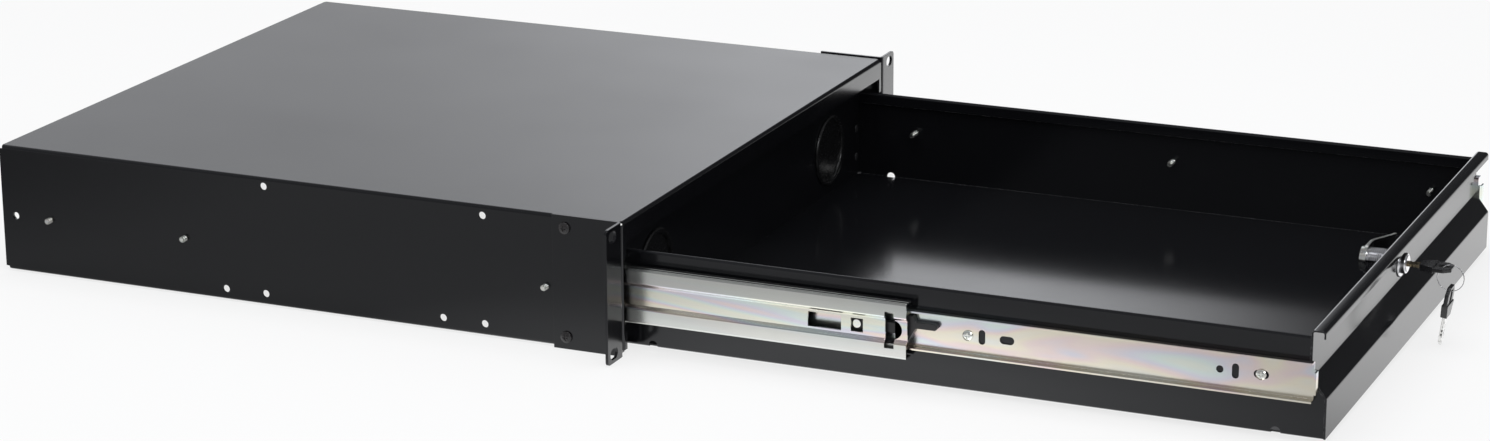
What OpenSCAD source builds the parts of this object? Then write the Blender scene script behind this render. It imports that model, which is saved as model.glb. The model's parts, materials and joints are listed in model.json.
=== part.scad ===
// Lockable two-unit rack drawer on ball slides, shown pulled fully out.
// The origin is the centre of the rack hole pattern, on the face that seats on the rack.
// X runs across the rack, +Y into the rack and +Z up.

/* [Rack ears] */
// Width across both ears
rack_w = 482.6; // [479:0.1:490]
// How far an ear stands out beside the case
ear_reach = 22.8; // [20:0.1:26]
// How far an ear reaches past the case's top and bottom
ear_over = 0.75; // [0.4:0.05:1.2]
// Thickness of the ear plate
ear_t = 2; // [1.5:0.1:3]
// Length of the ear plate along the case side
ear_l = 48; // [44:1:50]
// Distance of the rack holes from the ears' outer edges
rack_hole_inset = 8.75; // [8:0.05:9.5]
// Distance of the rack holes from an ear's top and bottom
rack_hole_set = 5.95; // [5.5:0.05:11]
// Height of a rack hole
rack_hole_h = 7; // [6:0.1:8]
// Length of a rack hole
rack_hole_l = 10.4; // [8.4:0.1:11]
// Radius of the ear's outer corners
ear_corner_r = 3; // [1:0.5:3.5]

/* [Case] */
// Height of the case
case_h = 86.6; // [84:0.1:87.6]
// Depth of the case
case_d = 460; // [430:5:500]
// Thickness of the case sheet
case_t = 1.5; // [1:0.1:2]
// Inner radius of the sheet bends
bend_r = 0.9; // [0.5:0.1:1.2]
// Height of the flange below the front of the top
front_flange_h = 14; // [11:0.5:16]
// Height of the flange below the rear of the top
rear_flange_h = 18; // [12:0.5:24]
// Width of the side walls' front returns
return_w = 5.5; // [4:0.5:8]
// Width of the side walls' foot flanges
foot_flange_w = 6; // [4:0.5:9]
// Diameter of the plain holes in the side walls
side_hole_d = 5; // [3:0.5:6]

/* [Slides] */
// Thickness of a closed slide
slide_t = 12.7; // [12.5:0.1:13.4]
// Height of an outer member
outer_h = 45.5; // [45.3:0.1:46]
// Depth of the grooves that the outer balls run in
outer_groove = 0.21; // [0.15:0.01:0.3]
// Depth of the grooves that the inner balls run in
inner_groove = 0.23; // [0.15:0.01:0.3]
// Thickness of the slide steel
rail_t = 1.2; // [1.1:0.05:1.3]
// Height of the slide axis above the case bottom
slide_rise = 38.3; // [36:0.1:40]
// Travel lost between the slide's length and the drawer's way
travel_loss = 4; // [2:1:20]
// Diameter of the balls next to the outer member
outer_ball_d = 3.97; // [3.9:0.01:4.1]
// Diameter of the balls next to the inner member
inner_ball_d = 4.76; // [4.7:0.01:4.9]
// Length of an outer ball cage
outer_cage_l = 170; // [120:5:180]
// Length of an inner ball cage
inner_cage_l = 166; // [120:5:170]

/* [Drawer] */
// Thickness of the drawer sheet
tray_t = 1.2; // [1:0.1:1.4]
// Gap between the drawer's floor and the case's bottom edge
tray_lift = 2.5; // [1.5:0.1:4]
// Gap between the front panel's top and the case's front flange
panel_gap = 3.4; // [2:0.1:5]
// How far the side walls' tops lie below the panel's top
wall_drop = 4; // [2:0.1:8]
// Gap inside the rolled hem along the side walls
hem_gap = 1; // [0.6:0.1:2]
// Height of the hem's inner leg
hem_h = 8; // [5:0.5:9]
// How far the recessed panel face sits behind the case front when closed
panel_sunk = 8.2; // [7.8:0.1:11]
// How far the panel's top flange stands out of its recessed face
top_out = 7.6; // [5:0.1:9]
// Height of the lip below the top flange
lip_h = 5; // [3:0.5:7]
// How far the panel's lower face stands out of its recessed face
low_out = 9.5; // [6:0.5:12]
// Height of the panel's lower face
low_face_h = 25.3; // [20:0.1:27]
// Height of the slant above the lower face
slant_h = 12.2; // [9:0.1:14]
// Diameter of the cable holes in the back wall
cable_hole_d = 46; // [30:1:48]
// Distance of each cable hole's middle from the drawer's side
cable_hole_inset = 57.1; // [36:0.1:120]

/* [Lock and keys] */
// Gap between the lock's bezel and the slant below it
lock_gap = 1.2; // [0.4:0.1:2.4]
// Diameter of the lock's barrel
barrel_d = 16; // [14:0.5:17]
// How far the lock's bezel stands out past its barrel
bezel_rim = 1.2; // [0.9:0.1:2]
// Length of the barrel behind the panel's face
barrel_l = 20.4; // [18:0.1:26]
// Diameter of the turning plug
plug_d = 10.6; // [10:0.1:11.4]
// Way of the cam towards the panel at its crank
cam_crank = 9.4; // [4:0.2:10]
// Length of a key's bow
bow_l = 20.4; // [19.6:0.2:22]
// Width of a key's bow
bow_w = 16.4; // [14:0.2:18]
// Length of a key's blade
blade_l = 19; // [17:0.2:20]
// Length of the first key's blade outside the lock
blade_shown = 8.6; // [4:0.2:10]
// Diameter of the key ring at its wire's middle
ring_d = 17.2; // [16.6:0.1:17.6]
// Diameter of the key ring's wire
wire_d = 1.2; // [1:0.1:1.4]

/* [Hidden] */
$fn = 48;

// Overrun of every cut past the face it opens
over = 1;
// Straight steps in each sheet bend
bend_steps = 4;
// Radial gap of a fitted pin, screw or turning piece
fit_gap = 0.05;
// Radial gap between a ball and its groove
ball_gap = 0.12;

// Sizes of the case and ears that follow the rack
case_w = rack_w - 2 * ear_reach;
ear_h = case_h + 2 * ear_over;
rack_hole_x = rack_w - 2 * rack_hole_inset;
rack_hole_z = ear_h - 2 * rack_hole_set;

// Case levels, measured from the middle of the rack holes
case_bottom_z = -case_h / 2;
case_top_z = case_h / 2;
case_ceiling_z = case_top_z - case_t;
case_in_w = case_w - 2 * case_t;
case_front_y = -ear_t;
case_back_y = case_front_y + case_d;

// Slide places and ways
slide_z = case_bottom_z + slide_rise;
slide_setback = 4;
slide_rear_gap = 6;
slide_l = case_d - slide_setback - slide_rear_gap;
slide_front_y = case_front_y + slide_setback;
travel = slide_l - travel_loss;
middle_way_share = 0.4305;
bumper_t = 3.7;
bumper_h = 11;
bumper_gap = 0.3;
member_l = slide_l - bumper_t - bumper_gap;
middle_y = slide_front_y - middle_way_share * travel;
inner_y = slide_front_y - travel;

// Member heights, from the outer one inwards, with a row of balls between each two
middle_h = outer_h - 2 * rail_t - 2 * (outer_ball_d - 2 * outer_groove);
inner_h = middle_h - 2 * rail_t - 2 * (inner_ball_d - 2 * inner_groove);

// Drawer places
tray_w = case_in_w - 2 * slide_t;
tray_in_w = tray_w - 2 * tray_t;
tray_bottom_z = case_bottom_z + tray_lift;
floor_z = tray_bottom_z + tray_t;
panel_top_z = case_top_z - front_flange_h - panel_gap;
wall_top_z = panel_top_z - wall_drop;
wall_h = wall_top_z - tray_bottom_z;
low_face_z = tray_bottom_z + low_face_h;
slant_top_z = low_face_z + slant_h;
recess_y = case_front_y + panel_sunk - travel;
low_face_y = recess_y - low_out;
lip_y = recess_y - top_out;
back_gap = 0.2;
tray_back_y = case_back_y - back_gap - travel;
back_wall_y = tray_back_y - 2 * tray_t;
hem_w = 2 * tray_t + hem_gap;
hem_bend_share = 0.4;
tray_bend_r = hem_gap * hem_bend_share;
rear_return_w = 12;
rivet_inset = 6.5;
rivet_level_shares = [0.24, 0.573];
back_rivet_d = 3.2;
back_rivet_head_d = 6;
back_rivet_head_h = 1.1;
cable_hole_share = 0.53;
cable_hole_x = tray_in_w - 2 * cable_hole_inset;
notch_d = 6;
notch_front = 20.8;
notch_rear = 27.2;
corner_hole_d = 3;
grommet_rim_w = 2.4;
grommet_rim_t = 2;
grommet_wall = 1.8;
grommet_skin_t = 1;
grommet_lip_w = 1;
grommet_lip_t = 1.2;

// Plain holes in the case sides, as shares of its depth and height
side_hole_shares = [[0.559, 0.932], [0.213, 0.921], [0.627, 0.084], [0.562, 0.087], [0.278, 0.092],
    [0.213, 0.088]];
// Plain hole through the case and the outer member, near the rear on the slide axis
rear_hole_inset = 10.1;
rear_hole_y = case_back_y - rear_hole_inset;
// Screws of the outer members: one just behind the ear, then shares of the rest of the slide
case_screw_set = 6;
first_case_screw_y = case_front_y + ear_l + case_screw_set;
case_screw_shares = [0, 0.661, 0.922];
case_screw_ys = [for (k = case_screw_shares)
    first_case_screw_y + k * (slide_front_y + slide_l - first_case_screw_y)];
// Screws and openings of the inner members, as shares of the member's length
drawer_screw_shares = [0.0767, 0.4877, 0.919];
round_screw_holes = [1, 2];
tall_slot_shares = [0.112, 0.4675];
long_slot_shares = [0.0767, 0.4316];
inner_hole_share = 0.1334;

// Screws
slide_screw_d = 4;
slide_screw_head_d = 7.6;
slide_screw_head_h = 1.7;
slide_screw_tip = 4;
drawer_screw_d = 3.8;
drawer_screw_head_d = 6.6;
drawer_screw_head_h = 2;
drawer_screw_tip = 8;
ear_screw_d = 4;
ear_screw_head_d = 7.6;
ear_screw_head_h = 2.6;
ear_screw_set = 9;
ear_screw_inset = 7.4;
ear_screw_y = case_front_y + ear_l - ear_screw_set;
ear_screw_z = case_h / 2 - ear_screw_inset;
ear_nut_w = 7;
ear_nut_t = 3;
cross_w = 0.9;
cross_l = 3.6;
cross_depth = 1;
dome_share = 0.75;

// Slide sections, measured from the case wall towards the drawer
outer_flange_s = 10.4;
outer_lip = 2.2;
band_s = 2;
web_s = 4;
band_share = 0.46;
joggle_share = 0.34;
middle_flange_s = 10.2;
inner_flange_s = slide_t - 6.1;
member_bend_r = bend_r / 2;
outer_ball_s = 5.6;
inner_ball_s = 8.6;
outer_ball_z = (outer_h / 2 - rail_t + middle_h / 2) / 2;
inner_ball_z = (middle_h / 2 - rail_t + inner_h / 2) / 2;
outer_cage_s = 1.35;
inner_cage_s = 5.55;
cage_t = 0.5;
cage_arm_t = 0.8;
cage_web_h = 5;
cage_rim = 0.5;
cage_bridge_l = 14;
cage_set = 4;
ball_pitch = 14;
ball_inset = 8;
ball_facets = 24;
outer_cage_y = slide_front_y + 2 * cage_set;
inner_cage_y = middle_y + cage_set;

// Openings of a middle member, as distances behind its front end
window_back = 54.4;
window_l = 22;
window_h = 9.4;
square_back = 33;
square_l = 8;
square_h = 8.6;
bulb_back = 11.2;
bulb_slot_l = 6.2;
bulb_slot_h = 23.2;
bulb_r = 6;
bulb_set = 1.7;

// Openings and front tab of an inner member
tall_slot_d = 4.2;
tall_slot_h = 9.2;
long_slot_d = 5;
long_slot_l = 9.2;
inner_hole_d = 4.4;
tab_h = 14;
tab_out = 5;
tab_setback = 2.5;

// Release lever and its rivet
lever_back = 34;
lever_y = middle_y + lever_back;
lever_s = slide_t - 5.4;
lever_t = 4;
lever_hub_r = 4.4;
lever_neck_h = 7;
lever_nose_l = 38;
lever_nose_top = 9.2;
lever_nose_low = 7.5;
lever_nose_r = 5;
lever_nose_share = 0.3;
lever_finger_l = 52;
lever_finger_h = 4.2;
lever_finger_z = 3.4;
rivet_d = 3;
rivet_head_d = 5.4;
rivet_head_h = 0.7;
rivet_play = 0.2;

// Lock
bezel_d = barrel_d + 2 * bezel_rim;
lock_z = slant_top_z + lock_gap + bezel_d / 2;
bezel_t = 1.2;
nose_d = 13.4;
nose_t = 3.4;
nose_round = 1;
plug_proud = 0.4;
lock_face_y = recess_y - bezel_t - nose_t;
lock_nut_wall = 2;
lock_nut_w = barrel_d + 2 * lock_nut_wall;
lock_nut_t = 3;
tang_w = 6.6;
stud_d = 5;
cam_play = 0.1;
cam_t = 2;
cam_w = 18;
cam_bend = 12.5;
cam_tip_l = 2;
cam_top_gap = 2.2;
cam_back_y = recess_y + barrel_l + cam_t + cam_play;
cam_l = case_ceiling_z - lock_z - cam_top_gap;
cam_nut_d = 15.6;
cam_nut_t = 2.4;
strike_w = 40;
strike_foot = 12;
strike_gap = 2.5;
strike_h = 12;
strike_y = cam_back_y - cam_t - cam_crank + travel - strike_gap;

// Keys, with the eye for the ring near the end of the bow
blade_w = 6.8;
blade_t = 1.8;
blade_root = 2.4;
blade_point_share = 0.12;
blade_cut = 2;
blade_cut_shares = [0.3, 0.46, 0.62, 0.76];
slot_gap = 0.2;
slot_end = 1.5;
bow_t = 4.2;
bow_neck_w = 10;
bow_end_w = 9;
bow_shoulder_shares = [0.4, 0.78];
eye_t = 2.6;
eye_step = 11;
eye_l = 8.8;
eye_w = 5.4;
bridge = 2.4;
bow_y = lock_face_y - blade_shown;
eye_y = bow_y - bow_l + bridge / 2;
ring_seat = 0.45;
ring_z = lock_z - ring_d / 2 + wire_d / 2 + eye_t / 2 + ring_seat;
ring_low_z = ring_z - ring_d / 2;
spare_lean = 8;
spare_seat = 0.55;
spare_bow_top = bridge + spare_seat + wire_d / 2;

// Bent sheets: a path along one face, with the sheet lying on the path's left
function unit(v) = v / norm(v);
function left_of(d) = [-d[1], d[0]];
function turn_side(a, b) = sign(a[0] * b[1] - a[1] * b[0]);
function bend_arc(p, q, s, t, r, face) =
    let (a = left_of(unit(q - p)), b = left_of(unit(s - q)), side = turn_side(a, b),
        path_r = side > 0 ? r + t : r, middle = q + side * path_r * (a + b) / (1 + a * b),
        reach = path_r - side * face * t, start = atan2(a[1], a[0]), turn = side * acos(a * b))
    [for (k = [0:bend_steps]) let (w = start + turn * k / bend_steps)
        middle - side * reach * [cos(w), sin(w)]];
function bent_face(path, t, r, face) =
    let (last = len(path) - 1)
    concat([path[0] + face * t * left_of(unit(path[1] - path[0]))],
        [for (i = [1:last - 1]) each bend_arc(path[i - 1], path[i], path[i + 1], t, r, face)],
        [path[last] + face * t * left_of(unit(path[last] - path[last - 1]))]);
function backwards(list) = [for (i = [len(list) - 1:-1:0]) list[i]];
function bent_sheet(path, t, r) = concat(bent_face(path, t, r, 0), backwards(bent_face(path, t, r, 1)));

// A flat outline carried along one axis, and rods along X and Y
module along_x(x, l) { translate([x, 0, 0]) rotate([90, 0, 90]) linear_extrude(l) children(); }
module along_y(y, l) { translate([0, y + l, 0]) rotate([90, 0, 0]) linear_extrude(l) children(); }
module along_z(z, l) { translate([0, 0, z]) linear_extrude(l) children(); }
module rod_x(d, l) { rotate([0, 90, 0]) cylinder(d = d, h = l); }
module rod_y(d, l) { rotate([-90, 0, 0]) cylinder(d = d, h = l); }
module round_slot(l, d) {
    square([l - d, d], center = true);
    for (s = [-1, 1]) translate([s * (l - d) / 2, 0]) circle(d = d);
}
module both_sides() {
    children();
    mirror([1, 0, 0]) children();
}

// A pan screw with its head seated at the origin and its shank down -Z
module pan_screw(d, shank, head_d, head_h) {
    translate([0, 0, -shank]) cylinder(d = d, h = shank + head_h / 3);
    difference() {
        intersection() {
            cylinder(d = head_d, h = head_h);
            translate([0, 0, head_h - head_d * dome_share]) sphere(r = head_d * dome_share);
        }
        for (a = [0, 90]) rotate([0, 0, a]) translate([-cross_l / 2, -cross_w / 2, head_h - cross_depth])
            cube([cross_l, cross_w, cross_depth + over]);
    }
}

// Case
module case_section() {
    half = case_w / 2;
    foot = half - foot_flange_w;
    polygon(bent_sheet([[foot, case_bottom_z], [half, case_bottom_z], [half, case_top_z],
        [-half, case_top_z], [-half, case_bottom_z], [-foot, case_bottom_z]], case_t, bend_r));
}
module case_shell() {
    bend = case_t + bend_r;
    relief = case_t / 2;
    flange_w = case_in_w - 2 * bend_r - 2 * relief;
    slide_room = outer_h + 2 * case_t;
    color("#1b1b1d") difference() {
        union() {
            along_y(case_front_y + bend, case_d - 2 * bend) case_section();
            along_x(-flange_w / 2, flange_w) {
                polygon(bent_sheet([[case_front_y + 2 * bend, case_top_z], [case_front_y, case_top_z],
                    [case_front_y, case_top_z - front_flange_h]], case_t, bend_r));
                polygon(bent_sheet([[case_back_y, case_top_z - rear_flange_h], [case_back_y, case_top_z],
                    [case_back_y - 2 * bend, case_top_z]], case_t, bend_r));
            }
            both_sides() {
                along_z(case_bottom_z + bend, case_h - 2 * bend) polygon(bent_sheet([
                    [-case_w / 2, case_front_y + 2 * bend], [-case_w / 2, case_front_y],
                    [-case_w / 2 + return_w, case_front_y]], case_t, bend_r));
                translate([-case_w / 2, case_back_y - 2 * bend, case_bottom_z + bend])
                    cube([case_t, 2 * bend, case_h - 2 * bend]);
            }
        }
        both_sides() {
            translate([-case_in_w / 2, case_front_y - over, slide_z - slide_room / 2])
                cube([return_w, bend + over, slide_room]);
            for (h = side_hole_shares)
                translate([-case_w / 2 - over, case_front_y + h[0] * case_d, case_bottom_z + h[1] * case_h])
                    rod_x(side_hole_d, case_t + 2 * over);
            translate([-case_w / 2 - over, rear_hole_y, slide_z]) rod_x(side_hole_d, case_t + 2 * over);
            for (y = case_screw_ys) translate([-case_w / 2 - over, y, slide_z])
                rod_x(slide_screw_d + 2 * fit_gap, case_t + 2 * over);
            for (z = [-1, 1]) translate([-case_w / 2 - over, ear_screw_y, z * ear_screw_z])
                rod_x(ear_screw_d + 2 * fit_gap, case_t + 2 * over);
        }
    }
}

// Ears, seen as the left one
module ear() {
    edge = rack_w / 2;
    difference() {
        intersection() {
            along_z(-ear_h / 2, ear_h) polygon(bent_sheet([[-edge, case_front_y],
                [-case_w / 2, case_front_y], [-case_w / 2, case_front_y + ear_l]], ear_t, bend_r));
            along_y(case_front_y - over, ear_l + 2 * over) {
                translate([-edge + ear_corner_r, -ear_h / 2]) square([edge - case_w / 2, ear_h]);
                translate([-edge, -ear_h / 2 + ear_corner_r])
                    square([edge - case_w / 2, ear_h - 2 * ear_corner_r]);
                for (z = [-1, 1]) translate([-edge + ear_corner_r, z * (ear_h / 2 - ear_corner_r)])
                    circle(r = ear_corner_r);
            }
        }
        for (z = [-1, 1]) {
            along_y(case_front_y - over, ear_t + 2 * over)
                translate([-rack_hole_x / 2, z * rack_hole_z / 2]) round_slot(rack_hole_l, rack_hole_h);
            translate([-case_w / 2 - ear_t - over, ear_screw_y, z * ear_screw_z])
                rod_x(ear_screw_d + 2 * fit_gap, ear_t + 2 * over);
        }
    }
}
module left_ear() { color("#1b1b1d") ear(); }
module right_ear() { color("#1b1b1d") mirror([1, 0, 0]) ear(); }
module ear_screws() {
    color("#161617") both_sides() for (z = [-1, 1])
        translate([-case_w / 2 - ear_t, ear_screw_y, z * ear_screw_z]) rotate([0, -90, 0])
            pan_screw(ear_screw_d, ear_t + case_t + ear_nut_t, ear_screw_head_d, ear_screw_head_h);
}
module ear_nuts() {
    color("#c4c7cb") both_sides() for (z = [-1, 1])
        translate([-case_in_w / 2, ear_screw_y, z * ear_screw_z]) difference() {
            rotate([0, 90, 0]) cylinder(d = ear_nut_w / cos(30), h = ear_nut_t, $fn = 6);
            translate([-over, 0, 0]) rod_x(ear_screw_d + 2 * fit_gap, ear_nut_t + 2 * over);
        }
}

// Angle under the front of the top, which the turned-up cam draws against
module lock_strike() {
    color("#1b1b1d") along_x(-strike_w / 2, strike_w) polygon(bent_sheet([
        [strike_y, case_ceiling_z - strike_h], [strike_y, case_ceiling_z],
        [strike_y - strike_foot, case_ceiling_z]], case_t, bend_r));
}

// Slides: drawn as the left one, with X running from the case wall to the drawer
module in_slide(y) { translate([-case_in_w / 2, y, slide_z]) children(); }
// The right slide is the left one turned over about the slide axis
module turned_over() { translate([0, 0, 2 * slide_z]) rotate([0, 180, 0]) children(); }
module both_slides() {
    children();
    turned_over() children();
}
module ball_grooves(s, z, d, l) {
    for (side = [-1, 1]) translate([s, -over, side * z]) rod_y(d + 2 * ball_gap, l + 2 * over);
}
module web_hole(y, d) { translate([-over, y, 0]) rod_x(d, slide_t + 2 * over); }
module web_slot(y, l, d, angle) {
    translate([0, y, 0]) along_x(-over, slide_t + 2 * over) rotate([0, 0, angle]) round_slot(l, d);
}
module outer_member() {
    z = outer_h / 2;
    in_slide(slide_front_y) difference() {
        along_y(0, slide_l) polygon(bent_sheet([[outer_flange_s, z - outer_lip], [outer_flange_s, z], [0, z],
            [0, -z], [outer_flange_s, -z], [outer_flange_s, -z + outer_lip]], rail_t, member_bend_r));
        ball_grooves(outer_ball_s, outer_ball_z, outer_ball_d, slide_l);
        for (y = case_screw_ys) web_hole(y - slide_front_y, slide_screw_d + 2 * fit_gap);
        web_hole(rear_hole_y - slide_front_y, side_hole_d);
    }
}
module left_outer_member() { color("#c9ccd0") outer_member(); }
module right_outer_member() { color("#c9ccd0") turned_over() outer_member(); }
module case_slide_screws() {
    shank_l = rail_t + case_t + slide_screw_tip;
    color("#d8dade") both_slides() for (y = case_screw_ys)
        in_slide(y) translate([rail_t, 0, 0]) rotate([0, 90, 0])
            pan_screw(slide_screw_d, shank_l, slide_screw_head_d, slide_screw_head_h);
}
module bumper() {
    top = outer_h / 2 - rail_t - member_bend_r;
    in_slide(slide_front_y + slide_l - bumper_t) for (z = [-top, top - bumper_h])
        translate([rail_t, 0, z]) cube([outer_flange_s - 2 * rail_t, bumper_t, bumper_h]);
}
module left_bumper() { color("#202022") bumper(); }
module right_bumper() { color("#202022") turned_over() bumper(); }

module middle_member() {
    z = middle_h / 2;
    band = z * band_share;
    web = z * joggle_share;
    in_slide(middle_y) difference() {
        along_y(0, member_l) polygon(bent_sheet([[middle_flange_s, z], [band_s, z], [band_s, band],
            [web_s, web], [web_s, -web], [band_s, -band], [band_s, -z], [middle_flange_s, -z]],
            rail_t, member_bend_r));
        ball_grooves(outer_ball_s, outer_ball_z, outer_ball_d, member_l);
        ball_grooves(inner_ball_s, inner_ball_z, inner_ball_d, member_l);
        along_x(0, inner_cage_s) {
            translate([window_back, 0]) square([window_l, window_h], center = true);
            translate([square_back, 0]) square([square_l, square_h], center = true);
            translate([bulb_back, 0]) square([bulb_slot_l, bulb_slot_h], center = true);
            intersection() {
                translate([bulb_back - bulb_set, 0]) circle(r = bulb_r);
                translate([bulb_back + bulb_slot_l / 2 - bulb_slot_h, -bulb_slot_h / 2])
                    square(bulb_slot_h);
            }
        }
    }
}
module left_middle_member() { color("#cfd0cc") middle_member(); }
module right_middle_member() { color("#cfd0cc") turned_over() middle_member(); }

// A ball cage: two arms with ball pockets, joined by one bridge at the rear
function ball_places(l) = [for (y = [ball_inset:ball_pitch:l - ball_inset]) y];
module cage(s, ball_s, ball_z, ball_d, l) {
    difference() {
        union() {
            for (side = [-1, 1]) {
                translate([s, 0, side * ball_z - cage_arm_t / 2])
                    cube([ball_s + ball_d / 2 + cage_rim - s, l, cage_arm_t]);
                translate([s, 0, side > 0 ? ball_z - cage_web_h : -ball_z]) cube([cage_t, l, cage_web_h]);
            }
            translate([s, l - cage_bridge_l, -ball_z]) cube([cage_t, cage_bridge_l, 2 * ball_z]);
        }
        for (y = ball_places(l), side = [-1, 1])
            translate([ball_s, y, side * ball_z - cage_arm_t])
                cylinder(d = ball_d + 2 * fit_gap, h = 2 * cage_arm_t);
    }
}
module balls(ball_s, ball_z, ball_d, l) {
    for (y = ball_places(l), side = [-1, 1])
        translate([ball_s, y, side * ball_z]) sphere(d = ball_d, $fn = ball_facets);
}
module outer_cage() {
    in_slide(outer_cage_y) cage(outer_cage_s, outer_ball_s, outer_ball_z, outer_ball_d, outer_cage_l);
}
module inner_cage() {
    in_slide(inner_cage_y) cage(inner_cage_s, inner_ball_s, inner_ball_z, inner_ball_d, inner_cage_l);
}
module outer_balls() { in_slide(outer_cage_y) balls(outer_ball_s, outer_ball_z, outer_ball_d, outer_cage_l); }
module inner_balls() { in_slide(inner_cage_y) balls(inner_ball_s, inner_ball_z, inner_ball_d, inner_cage_l); }
module left_outer_cage() { color("#9aa0a6") outer_cage(); }
module right_outer_cage() { color("#9aa0a6") turned_over() outer_cage(); }
module left_inner_cage() { color("#9aa0a6") inner_cage(); }
module right_inner_cage() { color("#9aa0a6") turned_over() inner_cage(); }
module left_outer_balls() { color("#dfe1e4") outer_balls(); }
module right_outer_balls() { color("#dfe1e4") turned_over() outer_balls(); }
module left_inner_balls() { color("#dfe1e4") inner_balls(); }
module right_inner_balls() { color("#dfe1e4") turned_over() inner_balls(); }

module inner_member() {
    z = inner_h / 2;
    in_slide(inner_y) {
        difference() {
            translate([0, tab_setback, 0]) along_y(0, member_l - tab_setback)
                polygon(bent_sheet([[inner_flange_s, -z], [slide_t, -z], [slide_t, z], [inner_flange_s, z]],
                    rail_t, member_bend_r));
            ball_grooves(inner_ball_s, inner_ball_z, inner_ball_d, member_l);
            for (k = tall_slot_shares) web_slot(k * member_l, tall_slot_h, tall_slot_d, 90);
            for (k = long_slot_shares) web_slot(k * member_l, long_slot_l, long_slot_d, 0);
            for (i = round_screw_holes)
                web_hole(drawer_screw_shares[i] * member_l, drawer_screw_d + 2 * fit_gap);
            web_hole(inner_hole_share * member_l, inner_hole_d);
            web_hole(lever_y - inner_y, rivet_d + 2 * fit_gap);
        }
        along_z(-tab_h / 2, tab_h) polygon(bent_sheet([[slide_t - rail_t - tab_out, 0], [slide_t, 0],
            [slide_t, 2 * tab_setback]], rail_t, member_bend_r));
    }
}
module left_inner_member() { color("#cfd0cc") inner_member(); }
module right_inner_member() { color("#cfd0cc") turned_over() inner_member(); }
module lever_rivet() {
    head_s = lever_s - rivet_play - rivet_head_h;
    in_slide(lever_y) {
        translate([head_s, 0, 0]) rod_x(rivet_head_d, rivet_head_h);
        translate([head_s, 0, 0]) rod_x(rivet_d, slide_t - head_s);
    }
}
module left_lever_rivet() { color("#d8dade") lever_rivet(); }
module right_lever_rivet() { color("#d8dade") turned_over() lever_rivet(); }
module lever_outline() {
    neck = lever_neck_h / 2;
    nose = lever_nose_l;
    finger = lever_finger_h / 2;
    circle(r = lever_hub_r);
    polygon([[0, -neck], [0, neck], [-nose + 2 * lever_nose_r, neck], [-nose + lever_nose_r, lever_nose_top],
        [-nose + lever_nose_r * lever_nose_share, lever_nose_top], [-nose, lever_finger_z + finger],
        [-nose, lever_finger_z - finger], [-nose + lever_nose_r, -lever_nose_low],
        [-nose + 2 * lever_nose_r, -neck]]);
    translate([-lever_finger_l + finger, lever_finger_z - finger])
        square([lever_finger_l - finger - nose + lever_nose_r, lever_finger_h]);
    translate([-lever_finger_l + finger, lever_finger_z]) circle(r = finger);
}
module release_lever() {
    in_slide(lever_y) difference() {
        along_x(lever_s, lever_t) lever_outline();
        rod_x(rivet_d + 2 * fit_gap, slide_t);
    }
}
module left_release_lever() { color("#1a1a1b") release_lever(); }
module right_release_lever() { color("#1a1a1b") turned_over() release_lever(); }
module drawer_slide_screws() {
    shank = rail_t + tray_t + drawer_screw_tip;
    color("#d8dade") both_slides() for (k = drawer_screw_shares)
        in_slide(inner_y + k * member_l) translate([slide_t - rail_t, 0, 0]) rotate([0, -90, 0])
            pan_screw(drawer_screw_d, shank, drawer_screw_head_d, drawer_screw_head_h);
}

// Front panel, its path up the rear faces, over the top and down the lip
slant_shift = tray_t * tan(atan2(low_out, slant_h) / 2);
panel_rear_y = recess_y + tray_t;
low_rear_y = low_face_y + tray_t;
panel_points = bent_sheet([[low_rear_y, tray_bottom_z], [low_rear_y, low_face_z - slant_shift],
    [panel_rear_y, slant_top_z - slant_shift], [panel_rear_y, panel_top_z], [lip_y, panel_top_z],
    [lip_y, panel_top_z - lip_h]], tray_t, bend_r);
module front_panel() {
    color("#1b1b1d") difference() {
        along_x(-tray_w / 2, tray_w) polygon(panel_points);
        translate([0, recess_y - over, lock_z]) rod_y(barrel_d + 2 * fit_gap, tray_t + 2 * over);
    }
}

// Drawer tray: floor and hemmed walls from one sheet, with returns behind the back wall
module tray_section() {
    half = tray_w / 2;
    leg = half - hem_w;
    leg_z = wall_top_z - hem_h;
    polygon(bent_sheet([[-leg, leg_z], [-leg, wall_top_z], [-half, wall_top_z], [-half, tray_bottom_z],
        [half, tray_bottom_z], [half, wall_top_z], [leg, wall_top_z], [leg, leg_z]], tray_t, tray_bend_r));
}
module drawer_tray() {
    bend = tray_t + tray_bend_r;
    color("#161618") difference() {
        union() {
            along_y(low_rear_y, tray_back_y - bend - low_rear_y) tray_section();
            both_sides() along_z(tray_bottom_z + bend, wall_h - bend) polygon(bent_sheet([
                [-tray_w / 2 + rear_return_w, tray_back_y], [-tray_w / 2, tray_back_y],
                [-tray_w / 2, tray_back_y - 2 * bend]], tray_t, tray_bend_r));
        }
        along_x(-tray_w / 2 - over, tray_w + 2 * over) {
            polygon([[low_face_y - over, low_face_z - slant_shift], [low_rear_y, low_face_z - slant_shift],
                [panel_rear_y, slant_top_z - slant_shift], [panel_rear_y, wall_top_z + over],
                [low_face_y - over, wall_top_z + over]]);
            polygon(panel_points);
        }
        translate([-tray_in_w / 2, back_wall_y, wall_top_z - hem_h - over])
            cube([tray_in_w, tray_t, hem_h + 2 * over]);
        both_sides() {
            for (y = [recess_y + notch_front, tray_back_y - notch_rear])
                translate([-tray_w / 2 - over, y, floor_z]) rod_x(notch_d, over + 2 * tray_t);
            for (k = drawer_screw_shares) translate([-tray_w / 2 - over, inner_y + k * member_l, slide_z])
                rod_x(drawer_screw_d + 2 * fit_gap, tray_t + 2 * over);
            translate([-tray_in_w / 2, back_wall_y, tray_bottom_z - over])
                cylinder(d = corner_hole_d, h = tray_t + 2 * over);
            rivet_places() rod_y(back_rivet_d + 2 * fit_gap, 3 * tray_t);
        }
    }
}

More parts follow.
